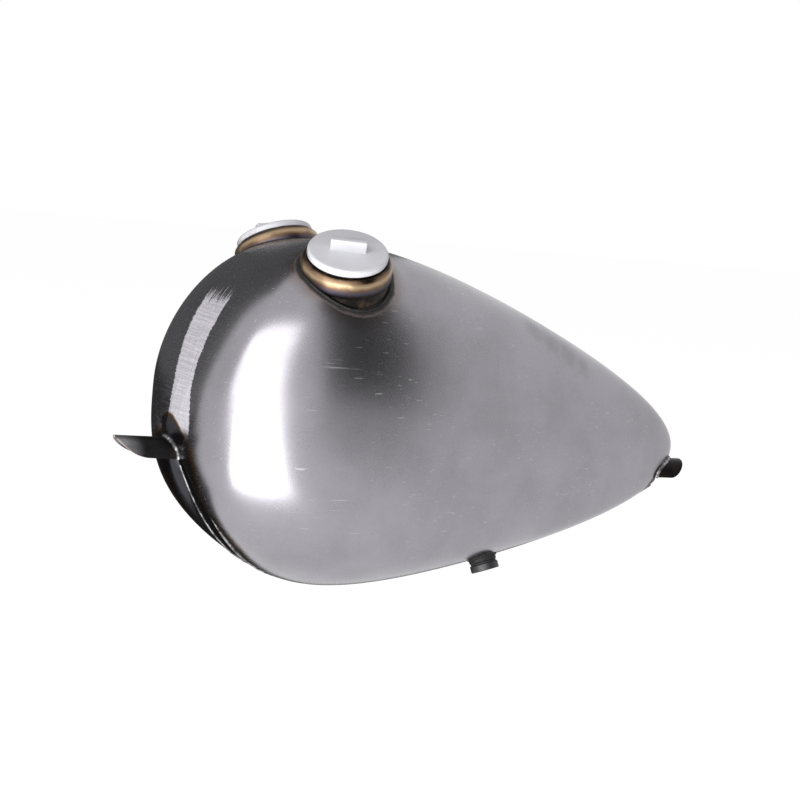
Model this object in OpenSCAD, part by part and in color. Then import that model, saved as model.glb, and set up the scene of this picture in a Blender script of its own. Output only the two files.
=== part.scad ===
// Twin-neck teardrop fuel tank: two pressed halves over an inverted-U tunnel, with a saddle tab
// at each end, two splayed filler necks with screw plugs, and one petcock bung.
// +X runs rearward along the backbone, +Y to the rider's right, +Z up. The origin is on the
// backbone axis under the front edge of the tunnel's crown.

/* [Body] */
// Length of the tunnel's crown, from its front edge to its rear edge
tunnel_length = 496; // [440:1:560]
// Height of the crest above the backbone axis
crest_height = 196; // [170:1:225]
// Depth of the lower seams below the backbone axis
belly_depth = 104; // [85:1:125]
// Width over both halves
body_width = 245; // [215:1:280]
// Squareness of a cross-section, where 2 is an ellipse
squareness = 2.9; // [2.3:0.1:3.3]
// Sheet of the two halves
shell_wall = 1.2; // [0.8:0.1:2]

/* [Tunnel and saddle tabs] */
// Diameter of the backbone tube
backbone_d = 28.6; // [25:0.1:34]
// Radial gap between the backbone tube and a saddle
saddle_gap = 0.2; // [0.1:0.05:0.6]
// Plate of the saddle tabs
tab_wall = 2; // [1.5:0.1:3]
// Sheet of the tunnel
tunnel_wall = 1.5; // [1:0.1:1.9]
// Setback of the tunnel's front rim from its crown
front_rake = 8; // [4:0.5:14]
// Setback of the tunnel's rear rim from its crown
rear_rake = 19; // [12:0.5:26]
// Straight part of the front tab, ahead of the rim
front_straight = 26; // [16:1:36]
// Rounded tongue of the front tab
front_tongue = 29; // [20:1:40]
// Straight part of the rear tab, behind the rim
rear_straight = 17; // [10:1:24]
// Rounded tongue of the rear tab
rear_tongue = 16; // [10:1:24]

/* [Filler necks] */
// Distance of the necks' seats behind the origin
neck_x = 118; // [105:1:130]
// Distance between the two seats
neck_spacing = 163; // [150:1:172]
// Height of a sealing face above its seat on the shell
neck_rise = 10.5; // [8:0.5:14]
// Splay of each neck away from the centre plane
neck_splay = 27; // [20:1:32]
// Lean of both necks towards the front
neck_lean = 10; // [4:1:14]
// Largest diameter of a neck ring
neck_d = 79; // [77.5:0.5:84]
// Diameter of a neck ring's top edge
lip_d = 72; // [71:0.5:75]
// Diameter of a neck ring's collar, where it enters the shell
collar_d = 77; // [75.5:0.5:77]
// Height of a neck ring down to its collar
ring_height = 17; // [14:0.5:20]
// Depth of the widest line below a ring's top edge
bulge_depth = 10; // [7:0.5:12]
// Sheet of a neck ring
ring_wall = 1.5; // [1:0.1:2]
// Bore of a threaded insert
mouth_d = 62; // [58:0.5:64]
// Wall of a threaded insert
insert_wall = 2.5; // [2:0.1:3]
// Depth of an insert below its sealing face
insert_depth = 24; // [20:1:30]

/* [Screw plugs] */
// Diameter of a plug's head
head_d = 69; // [68:0.5:74]
// Thickness of a plug's head
head_t = 6; // [4:0.5:9]
// Rounding of the head's top edge
head_round = 2.5; // [1:0.5:3.5]
// Length of a plug's threaded skirt
skirt_length = 12; // [9:0.5:16]
// Wall of the skirt
skirt_wall = 2.4; // [1.6:0.1:3]
// Radial running gap between skirt and insert
thread_gap = 0.08; // [0.05:0.01:0.1]
// Length of the grip bar
grip_length = 31; // [24:1:40]
// Thickness of the grip bar
grip_t = 6.5; // [5:0.5:9]
// Height of the grip bar above the head
grip_height = 10; // [7:0.5:14]
// Thickness of a plug's gasket
gasket_t = 1; // [0.8:0.1:2]

/* [Petcock bung] */
// Distance of the bung behind the origin
bung_x = 288; // [250:1:320]
// Distance of the bung from the centre plane
bung_y = 51; // [44:1:58]
// Diameter of the bung
bung_d = 24.6; // [22:0.2:28]
// Bore of the bung
outlet_d = 18; // [15:0.5:19]
// Stand-off of the bung's face from the shell
bung_stand = 4; // [3:0.5:7]
// Depth of the bung inside the shell
bung_depth = 8; // [5:0.5:12]
// Diameter of the transport plug's head
plug_d = 25.4; // [23:0.2:30]
// Thickness of the transport plug's head
plug_t = 6.5; // [4:0.5:9]
// Length of the transport plug's stem
stem_length = 11; // [7:0.5:15]
// Thickness of the o-ring
o_ring_t = 1.8; // [1.2:0.1:2.4]

/* [Welds] */
// Radius of the beads round the tabs
tab_bead = 2; // [1.4:0.1:3]
// Radius of the beads round the necks
neck_bead = 2; // [1.4:0.1:2.6]
// Radius of the bead round the bung
bung_bead = 1.4; // [1:0.1:2]
// Radius of the beads along the lower seams and inside the centre seam
seam_bead = 1.2; // [0.8:0.1:1.8]

/* [Hidden] */
$fn = 96;

steel = "#8b878f";
dark_steel = "#3a3a3e";
bronze = "#7d6552";
soot = "#25201f";
bead = "#5b5656";
white_plastic = "#eeeef2";
black_plastic = "#1b1b1d";
rubber = "#111112";

left = -1;
right = 1;

tunnel_r = backbone_d / 2 + saddle_gap + tab_wall;
half_width = body_width / 2;

// Handles of the three lines that carry the skin, each a curve of six handles from front to rear.
// A run is a share of tunnel_length. A rise, reach or drop is relative, and is scaled until the
// line's own peak comes to crest_height, body_width or belly_depth.
seam_lead = 9;
seam_tail = 3;
top_run = [0, -0.013, 0.106, 0.244, 1.072, 1];
top_rise = [0, 0.071, 1, 0.452, 0.256, 0];
side_run = [front_rake / tunnel_length, -0.007, -0.015, 0.368, 0.861, 1 - rear_rake / tunnel_length];
side_reach = [0, 0.299, 1, 0.521, 0.203, 0];
side_rise = [0, 0.478, 0.322, 0.154, 0.084, 0];
belly_run = [
    (front_rake + seam_lead) / tunnel_length, 0.192, 0.305, 0.703, 0.88,
    1 - (rear_rake + seam_tail) / tunnel_length
];
belly_drop = [0.012, 1, 0.498, 0.414, 0.186, 0.031];

function lerp(a, b, t) = a + (b - a) * t;
function unit(v) = v / norm(v);
function bezier(p, t) =
    len(p) == 1 ? p[0] : bezier([for (i = [0 : len(p) - 2]) lerp(p[i], p[i + 1], t)], t);
function peak(p) = max([for (i = [0 : 80]) bezier(p, i / 80)]);

top_scale = (crest_height - tunnel_r) / peak(top_rise);
side_scale = (half_width - tunnel_r) / peak(side_reach);
belly_scale = belly_depth / peak(belly_drop);
top_line = [
    for (i = [0 : 5]) [tunnel_length * top_run[i], 0, tunnel_r + top_scale * top_rise[i]]
];
side_line = [
    for (i = [0 : 5])
        [tunnel_length * side_run[i], tunnel_r + side_scale * side_reach[i], crest_height * side_rise[i]]
];
belly_line = [
    for (i = [0 : 5]) [tunnel_length * belly_run[i], tunnel_r, -belly_scale * belly_drop[i]]
];

// The skin of the right half. u runs from the front rim to the rear rim, and v from the crest
// over the widest line down to the lower seam. The section is a circle at both rims, where it
// lies on the tunnel, and a squarer curve between them.
function power_at(u) = 2 + (squareness - 2) * (1 - pow(2 * u - 1, 4));
function skin(u, v) =
    let (
        side = bezier(side_line, u),
        edge = v <= 0.5 ? bezier(top_line, u) : bezier(belly_line, u),
        c = cos(180 * v),
        bend = 2 / power_at(u),
        out = pow(abs(sin(180 * v)), bend),
        up = pow(abs(c), bend)
    )
    [
        lerp(side.x, edge.x, c * c),
        lerp(edge.y, side.y, out),
        lerp(side.z, edge.z, up)
    ];
function skin_normal(u, v) =
    let (h = 0.002)
    unit(cross(skin(u + h, v) - skin(u - h, v), skin(u, v + h) - skin(u, v - h)));

// Finds where a line parallel to a x b meets the skin. goal is the line's place in the plane of
// the unit vectors a and b through origin o, and uv is a first guess.
function place(p, o, a, b) = [(p - o) * a, (p - o) * b];
function meet(goal, o, a, b, uv, rounds = 12) =
    rounds == 0 ? uv :
    let (
        h = 0.001,
        p = place(skin(uv.x, uv.y), o, a, b),
        du = (place(skin(uv.x + h, uv.y), o, a, b) - p) / h,
        dv = (place(skin(uv.x, uv.y + h), o, a, b) - p) / h,
        e = goal - p,
        det = du.x * dv.y - du.y * dv.x,
        step = [(e.x * dv.y - e.y * dv.x) / det, (du.x * e.y - du.y * e.x) / det]
    )
    meet(goal, o, a, b, uv + step, rounds - 1);

// Grid of the skin, closer together towards the rims
rows = 40;
columns = 22;
rim_crowding = 0.7;
corner_spread = 0.03;
function along(i) = lerp(i / rows, (1 - cos(180 * i / rows)) / 2, rim_crowding);
function around(j) = j / columns - corner_spread * sin(720 * j / columns);
outer_grid = [for (i = [0 : rows]) [for (j = [0 : columns]) skin(along(i), around(j))]];
// On a seam the wall's edge stays in the seam's plane, and at a rim it stays on the tunnel.
rim_wall = 1.25 * shell_wall;
function wall_step(i, j) =
    i == 0 ? [rim_wall, 0, 0] :
    i == rows ? [-rim_wall, 0, 0] :
    let (
        a = outer_grid[i + 1][j] - outer_grid[i - 1][j],
        b = outer_grid[i][min(j + 1, columns)] - outer_grid[i][max(j - 1, 0)],
        n = cross(a, b),
        flat = j == 0 || j == columns ? [n.x, 0, n.z] : n
    )
    -shell_wall * unit(flat);
inner_grid = [for (i = [0 : rows]) [for (j = [0 : columns]) outer_grid[i][j] + wall_step(i, j)]];

// Neck frame: the seat on the skin, the two directions across the neck and the neck's own axis,
// all for the right side
neck_cross = [cos(neck_lean), 0, sin(neck_lean)];
neck_axis = [
    -cos(neck_splay) * sin(neck_lean),
    sin(neck_splay),
    cos(neck_splay) * cos(neck_lean)
];
neck_side = cross(neck_axis, neck_cross);
neck_uv = meet([neck_x, neck_spacing / 2], [0, 0, 0], [1, 0, 0], [0, 1, 0], [0.45, 0.18]);
neck_seat = skin(neck_uv.x, neck_uv.y);
neck_face = neck_seat + neck_rise * neck_axis;
neck_hole_r = neck_d / 2 + 0.1;
insert_r = mouth_d / 2 + insert_wall;
lip_step = 0.6;
collar_depth = insert_depth + 2;
skirt_r = mouth_d / 2 - thread_gap;

// Bung frame, also drawn on the right side and mirrored
bung_uv = meet([bung_x, bung_y], [0, 0, 0], [1, 0, 0], [0, 1, 0], [0.57, 0.93]);
bung_seat = skin(bung_uv.x, bung_uv.y);
bung_axis = skin_normal(bung_uv.x, bung_uv.y);
bung_cross = unit(cross([0, 1, 0], bung_axis));
bung_side = cross(bung_axis, bung_cross);
bung_hole_r = bung_d / 2 + 0.1;
o_ring_r = outlet_d / 2 + o_ring_t / 2 + 0.8;
stem_gap = 0.1;
stem_r = outlet_d / 2 - stem_gap;
plug_gap = 1.6;

// A closed solid between two equal grids of points
module sheet(a, b) {
    m = len(a) - 1;
    n = len(a[0]) - 1;
    size = (m + 1) * (n + 1);
    function at(i, j) = i * (n + 1) + j;
    function quad(p, q, r, s) = [[p, q, r], [p, r, s]];
    cells = [
        for (i = [0 : m - 1]) for (j = [0 : n - 1])
            [at(i, j), at(i, j + 1), at(i + 1, j + 1), at(i + 1, j)]
    ];
    rim = concat(
        [for (j = [0 : n - 1]) at(0, j)],
        [for (i = [0 : m - 1]) at(i, n)],
        [for (j = [n : -1 : 1]) at(m, j)],
        [for (i = [m : -1 : 1]) at(i, 0)]
    );
    count = len(rim);
    polyhedron(
        points = concat([for (row = a) for (p = row) p], [for (row = b) for (p = row) p]),
        faces = concat(
            [for (c = cells) each quad(c[0], c[1], c[2], c[3])],
            [for (c = cells) each quad(size + c[3], size + c[2], size + c[1], size + c[0])],
            [
                for (k = [0 : count - 1])
                    let (p = rim[k], q = rim[(k + 1) % count])
                    each quad(q, p, size + p, size + q)
            ]
        )
    );
}

// A bead laid along a path, with ripples where lumps is set. ref points off the path's plane.
module bead_along(path, r, ref, closed = false, sides = 8, lumps = 0) {
    n = len(path);
    swell = 0.14;
    function ahead(i) = closed ? path[(i + 1) % n] : path[min(i + 1, n - 1)];
    function behind(i) = closed ? path[(i + n - 1) % n] : path[max(i - 1, 0)];
    function radius(i) = r * (1 + swell * sin(360 * lumps * i / n));
    rings = [
        for (i = [0 : n - 1])
            let (t = unit(ahead(i) - behind(i)), s = unit(cross(t, ref)), w = cross(s, t))
            [for (k = [0 : sides - 1])
                path[i] + radius(i) * (cos(360 * k / sides) * s + sin(360 * k / sides) * w)]
    ];
    last = closed ? n - 1 : n - 2;
    walls = [
        for (i = [0 : last]) for (k = [0 : sides - 1])
            let (a = i * sides, b = ((i + 1) % n) * sides, q = (k + 1) % sides)
            each [[a + k, b + q, b + k], [a + k, a + q, b + q]]
    ];
    ends = closed ? [] : [
        [for (k = [sides - 1 : -1 : 0]) k],
        [for (k = [0 : sides - 1]) (n - 1) * sides + k]
    ];
    polyhedron(points = [for (ring = rings) for (p = ring) p], faces = concat(walls, ends));
}

module on_side(side) {
    if (side == left) mirror([0, 1, 0]) children();
    else children();
}
module at_neck() translate(neck_face) rotate([-neck_splay, -neck_lean, 0]) children();
module at_bung() {
    multmatrix([
        [bung_cross.x, bung_side.x, bung_axis.x, bung_seat.x],
        [bung_cross.y, bung_side.y, bung_axis.y, bung_seat.y],
        [bung_cross.z, bung_side.z, bung_axis.z, bung_seat.z],
        [0, 0, 0, 1]
    ]) children();
}
module tube(r_out, r_in, z0, z1) {
    difference() {
        translate([0, 0, z0]) cylinder(r = r_out, h = z1 - z0);
        translate([0, 0, z0 - 1]) cylinder(r = r_in, h = z1 - z0 + 2);
    }
}

// Halves
module half_shell(with_bung) {
    cut_depth = 1.5 * collar_depth;
    difference() {
        sheet(outer_grid, inner_grid);
        at_neck() translate([0, 0, -cut_depth]) cylinder(r = neck_hole_r, h = cut_depth);
        if (with_bung)
            at_bung() translate([0, 0, -bung_depth]) cylinder(r = bung_hole_r, h = 2 * bung_depth);
    }
}
module left_shell() color(steel) on_side(left) half_shell(true);
module right_shell() color(steel) half_shell(false);

// Tunnel and tabs: pieces of one channel profile, cut to length by outlines drawn from the side
rim_steps = 8;
seam_steps = 48;
front_rim = [
    for (k = [0 : rim_steps])
        let (c = cos(90 * k / rim_steps))
        [front_rake * (1 - c * c), tunnel_r * c]
];
rear_rim = [
    for (k = [rim_steps : -1 : 0])
        let (c = cos(90 * k / rim_steps))
        [tunnel_length - rear_rake * (1 - c * c), tunnel_r * c]
];
lower_seam = [for (k = [0 : seam_steps]) let (p = bezier(belly_line, k / seam_steps)) [p.x, p.z]];
module side_cut(outline) {
    rotate([90, 0, 0]) translate([0, 0, -tunnel_r - 1])
        linear_extrude(2 * tunnel_r + 2) polygon(outline);
}
module arch(r, x0, x1) translate([x0, 0, 0]) rotate([0, 90, 0]) cylinder(r = r, h = x1 - x0);
module tunnel() color(dark_steel) {
    inner_r = tunnel_r - tunnel_wall;
    deep = belly_depth + 1;
    intersection() {
        difference() {
            union() {
                arch(tunnel_r, 0, tunnel_length);
                translate([0, -tunnel_r, -deep]) cube([tunnel_length, 2 * tunnel_r, deep]);
            }
            arch(inner_r, -1, tunnel_length + 1);
            translate([-1, -inner_r, -deep - 1]) cube([tunnel_length + 2, 2 * inner_r, deep + 1]);
        }
        side_cut(concat(front_rim, lower_seam, rear_rim));
    }
}

// A tongue in side view: its lower edge is level, then rises to the crown as a parabola.
tongue_steps = 10;
function tongue(x0, dir, straight, taper) = [
    for (k = [0 : tongue_steps])
        let (t = k / tongue_steps)
        [x0 + dir * (straight + taper * t), tunnel_r * t * t]
];
front_edge = concat(front_rim, tongue(front_rake, -1, front_straight, front_tongue));
rear_edge = concat(rear_rim, tongue_back());
function tongue_back() =
    let (p = tongue(tunnel_length - rear_rake, 1, rear_straight, rear_tongue))
    [for (k = [tongue_steps : -1 : 0]) p[k]];
module saddle_tab(x0, x1, outline) {
    intersection() {
        difference() {
            arch(tunnel_r, x0, x1);
            arch(tunnel_r - tab_wall, x0 - 1, x1 + 1);
            translate([x0 - 1, -tunnel_r - 1, -tunnel_r - 1])
                cube([x1 - x0 + 2, 2 * tunnel_r + 2, tunnel_r + 1]);
        }
        side_cut(outline);
    }
}
front_tip = front_rake - front_straight - front_tongue;
rear_tip = tunnel_length - rear_rake + rear_straight + rear_tongue;
module front_tab() color(dark_steel) saddle_tab(front_tip, front_rake, front_edge);
module rear_tab() color(dark_steel) saddle_tab(tunnel_length - rear_rake, rear_tip, rear_edge);

// Neck ring: a pressed band that swells from its lip to its widest line and turns in to a collar.
ring_steps = 8;
module neck_ring() {
    lip_r = lip_d / 2;
    wide_r = neck_d / 2;
    collar_r = collar_d / 2;
    drop = ring_height - bulge_depth;
    angles = [for (k = [0 : ring_steps]) 90 * k / ring_steps];
    upper = [for (a = angles) [lip_r + (wide_r - lip_r) * sin(a), -bulge_depth * (1 - cos(a))]];
    lower = [for (a = angles) [collar_r + (wide_r - collar_r) * cos(a), -bulge_depth - drop * sin(a)]];
    inner_reach = wide_r - ring_wall - lip_r;
    inner_drop = bulge_depth - ring_wall;
    inner_upper = [
        for (a = angles) [lip_r + inner_reach * sin(a), -bulge_depth + inner_drop * cos(a)]
    ];
    outside = concat(upper, [for (k = [1 : ring_steps]) lower[k]]);
    inside = concat(
        [for (k = [ring_steps : -1 : 1]) lower[k] - [ring_wall, 0]],
        [for (k = [ring_steps : -1 : 0]) inner_upper[k]]
    );
    translate([0, 0, -lip_step]) rotate_extrude() polygon(concat(
        [[insert_r, 0]],
        outside,
        [[collar_r, -collar_depth], [collar_r - ring_wall, -collar_depth]],
        inside,
        [[insert_r, -ring_wall]]
    ));
}
module left_neck_ring() color(bronze) on_side(left) at_neck() neck_ring();
module right_neck_ring() color(bronze) at_neck() neck_ring();

module neck_insert() tube(insert_r, mouth_d / 2, -insert_depth, 0);
module left_neck_insert() color(bronze) on_side(left) at_neck() neck_insert();
module right_neck_insert() color(bronze) at_neck() neck_insert();

// Screw plug: a round-edged head with a hollow skirt below and a grip bar on top
module cap(turn) {
    head_r = head_d / 2;
    low_round = 0.6;
    shoulder = head_t - head_round;
    edge = [
        for (a = [0 : 15 : 90]) [head_r - head_round * (1 - cos(a)), shoulder + head_round * sin(a)]
    ];
    rim = [[0, 0], [head_r - low_round, 0], [head_r, low_round]];
    translate([0, 0, gasket_t]) {
        rotate_extrude() polygon(concat(rim, edge, [[0, head_t]]));
        tube(skirt_r, skirt_r - skirt_wall, -skirt_length, shoulder);
        rotate([0, 0, turn]) translate([0, 0, shoulder]) grip_bar();
    }
}
module grip_bar() {
    corner = 1.2;
    x = grip_length / 2 - corner;
    y = grip_t / 2 - corner;
    arcs = [
        for (q = [[x, y, 0], [-x, y, 90], [-x, -y, 180], [x, -y, 270]])
            for (a = [0 : 30 : 90]) [q.x + corner * cos(q.z + a), q.y + corner * sin(q.z + a)]
    ];
    linear_extrude(grip_height + head_round) polygon(arcs);
}
left_turn = 24;
right_turn = 10;
module left_cap() color(white_plastic) on_side(left) at_neck() cap(left_turn);
module right_cap() color(white_plastic) at_neck() cap(right_turn);

module cap_gasket() tube(head_d / 2 - 1, mouth_d / 2 + 0.3, 0, gasket_t);
module left_cap_gasket() color(rubber) on_side(left) at_neck() cap_gasket();
module right_cap_gasket() color(rubber) at_neck() cap_gasket();

// Petcock bung and its transport plug
module petcock_bung() color(soot) on_side(left) at_bung()
    tube(bung_d / 2, outlet_d / 2, -bung_depth, bung_stand);
module petcock_plug() color(black_plastic) on_side(left) at_bung() {
    face = bung_stand + plug_gap;
    bevel = 0.8;
    r = plug_d / 2;
    translate([0, 0, face]) rotate_extrude() polygon([
        [0, 0], [r - bevel, 0], [r, bevel], [r, plug_t - bevel], [r - bevel, plug_t], [0, plug_t]
    ]);
    tube(stem_r, stem_r - 2, face - stem_length, face + plug_t / 2);
}
module petcock_o_ring() color(rubber) on_side(left) at_bung()
    translate([0, 0, bung_stand + plug_gap / 2]) rotate_extrude() difference() {
        translate([o_ring_r, 0]) circle(r = o_ring_t / 2);
        translate([0, plug_gap / 2]) square([2 * o_ring_r, o_ring_t]);
        translate([0, -plug_gap / 2 - o_ring_t]) square([2 * o_ring_r, o_ring_t]);
    }

// Welds
weld_steps = 56;
module centre_seam_weld() color(bead) {
    path = [for (k = [1 : weld_steps - 1]) bezier(top_line, k / weld_steps)];
    sunk = [
        for (k = [0 : len(path) - 1])
            let (t = unit(path[min(k + 1, len(path) - 1)] - path[max(k - 1, 0)]))
            path[k] + (shell_wall + seam_bead * 0.6) * [t.z, 0, -t.x]
    ];
    bead_along(sunk, seam_bead, [0, 1, 0], sides = 6);
}
module seam_weld() {
    path = [for (k = [1 : weld_steps - 1]) bezier(belly_line, k / weld_steps)];
    bead_along(path, seam_bead, [0, 1, 0], sides = 6);
}
module left_seam_weld() color(bead) on_side(left) seam_weld();
module right_seam_weld() color(bead) seam_weld();

tab_lumps = 9;
module rim_weld(x0, rake) {
    steps = 36;
    reach = tunnel_r + tab_bead * 0.35;
    path = [
        for (k = [0 : steps])
            let (a = 180 * k / steps, c = sin(a))
            [x0 + rake * (1 - c * c) - sign(rake) * tab_bead * 0.4, reach * cos(a), reach * c]
    ];
    bead_along(path, tab_bead, [1, 0, 0], lumps = tab_lumps);
}
module front_tab_weld() color(bead) rim_weld(0, front_rake);
module rear_tab_weld() color(bead) rim_weld(tunnel_length, -rear_rake);

// Where a cylinder of radius r round a frame's axis comes out of the skin
function saddle_path(r, o, a, b, uv, steps) = [
    for (k = [0 : steps - 1])
        let (w = meet(r * [cos(360 * k / steps), sin(360 * k / steps)], o, a, b, uv))
        skin(w.x, w.y)
];
module neck_weld() {
    path = saddle_path(neck_hole_r, neck_seat, neck_cross, neck_side, neck_uv, 32);
    bead_along(path, neck_bead, neck_axis, closed = true);
}
module left_neck_weld() color(soot) on_side(left) neck_weld();
module right_neck_weld() color(soot) neck_weld();
module petcock_weld() color(soot) on_side(left)
    bead_along(
        saddle_path(bung_hole_r, bung_seat, bung_cross, bung_side, bung_uv, 24),
        bung_bead, bung_axis, closed = true
    );

left_shell();
right_shell();
tunnel();
front_tab();
rear_tab();
left_neck_ring();
right_neck_ring();
left_neck_insert();
right_neck_insert();
left_cap();
right_cap();
left_cap_gasket();
right_cap_gasket();
petcock_bung();
petcock_plug();
petcock_o_ring();
centre_seam_weld();
left_seam_weld();
right_seam_weld();
front_tab_weld();
rear_tab_weld();
left_neck_weld();
right_neck_weld();
petcock_weld();
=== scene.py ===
"""Looks of a twin-neck teardrop fuel tank in raw sheet steel.

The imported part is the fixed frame. Each sub-assembly below builds finer meshes of its own pieces
in that frame, in metres, and dresses them. +X runs rearward along the backbone tube, +Y to the
rider's right and +Z up, from an origin on the backbone axis under the front of the tunnel.
"""

import logging
import math
import random
from dataclasses import dataclass, field
from enum import Enum
from functools import reduce
from typing import Sequence

import bmesh
import bpy
from mathutils import Matrix, Vector


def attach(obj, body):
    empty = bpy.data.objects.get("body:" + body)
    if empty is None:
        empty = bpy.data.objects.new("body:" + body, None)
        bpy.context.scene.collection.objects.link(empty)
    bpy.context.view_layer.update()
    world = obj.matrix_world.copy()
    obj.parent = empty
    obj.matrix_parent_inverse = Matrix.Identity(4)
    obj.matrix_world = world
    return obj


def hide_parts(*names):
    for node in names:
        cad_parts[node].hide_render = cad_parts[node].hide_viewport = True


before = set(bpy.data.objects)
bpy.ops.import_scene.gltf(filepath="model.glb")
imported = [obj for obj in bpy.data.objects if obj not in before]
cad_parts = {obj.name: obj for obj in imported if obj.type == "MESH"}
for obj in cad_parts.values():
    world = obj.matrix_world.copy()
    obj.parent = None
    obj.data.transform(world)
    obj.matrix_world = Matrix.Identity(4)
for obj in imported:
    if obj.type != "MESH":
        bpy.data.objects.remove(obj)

MM = 0.001
WHITE = (1.0, 1.0, 1.0)
LOG = logging.getLogger("tank")
Point = tuple[float, float, float]
Colour = tuple[float, float, float]


class Side(Enum):
    """The two sides of the tank, valued by the sign of Y."""

    LEFT = -1
    RIGHT = 1

    @property
    def word(self) -> str:
        """The side's word in piece names."""
        return self.name.lower()

    @property
    def flip(self) -> Vector:
        """What brings a point of the right half to this side."""
        return Vector((1, self.value, 1))


class Slot(Enum):
    """The record's material slots."""

    RAW = "raw_steel"
    PLATE = "dark_steel"
    TINTED = "heat_tinted_steel"
    BEAD = "weld_bead"
    SOOT = "soot"
    WHITE = "white_plastic"
    BLACK = "black_plastic"
    RUBBER = "black_rubber"


# ---------------------------------------------------------------------------- shader maths


@dataclass
class Value:
    """A shader socket that Python operators work on."""

    graph: "Graph"
    socket: bpy.types.NodeSocket

    def _math(self, operation: str, *others: "Value | float") -> "Value":
        """Adds a Math node.

        Args:
            operation: The Math node's operation.
            others: The further inputs.

        Returns:
            The node's result.
        """
        return self.graph.node("ShaderNodeMath", {"operation": operation}, [self, *others])

    def __add__(self, other: "Value | float") -> "Value":
        """Sum."""
        return self._math("ADD", other)

    __radd__ = __add__

    def __sub__(self, other: "Value | float") -> "Value":
        """Difference."""
        return self._math("SUBTRACT", other)

    def __rsub__(self, other: "Value | float") -> "Value":
        """Difference from a number."""
        return self._math("MULTIPLY_ADD", -1.0, other)

    def __mul__(self, other: "Value | float") -> "Value":
        """Product."""
        return self._math("MULTIPLY", other)

    __rmul__ = __mul__

    def clamped(self) -> "Value":
        """The value held between 0 and 1."""
        return self.graph.node("ShaderNodeClamp", {}, [self, 0.0, 1.0])

    def higher(self, other: "Value | float") -> "Value":
        """The greater of two."""
        return self._math("MAXIMUM", other)

    def step(self, low: float, high: float) -> "Value":
        """A smooth step.

        Args:
            low: Where the result is 0. It may lie above high, and the step then falls.
            high: Where the result is 1.

        Returns:
            The stepped value, from 0 to 1.
        """
        if low > high:
            return 1.0 - self.step(high, low)
        settings = {"interpolation_type": "SMOOTHSTEP"}
        inputs = {"Value": self, "From Min": low, "From Max": high, "To Min": 0.0, "To Max": 1.0}
        return self.graph.node("ShaderNodeMapRange", settings, inputs)


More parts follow.
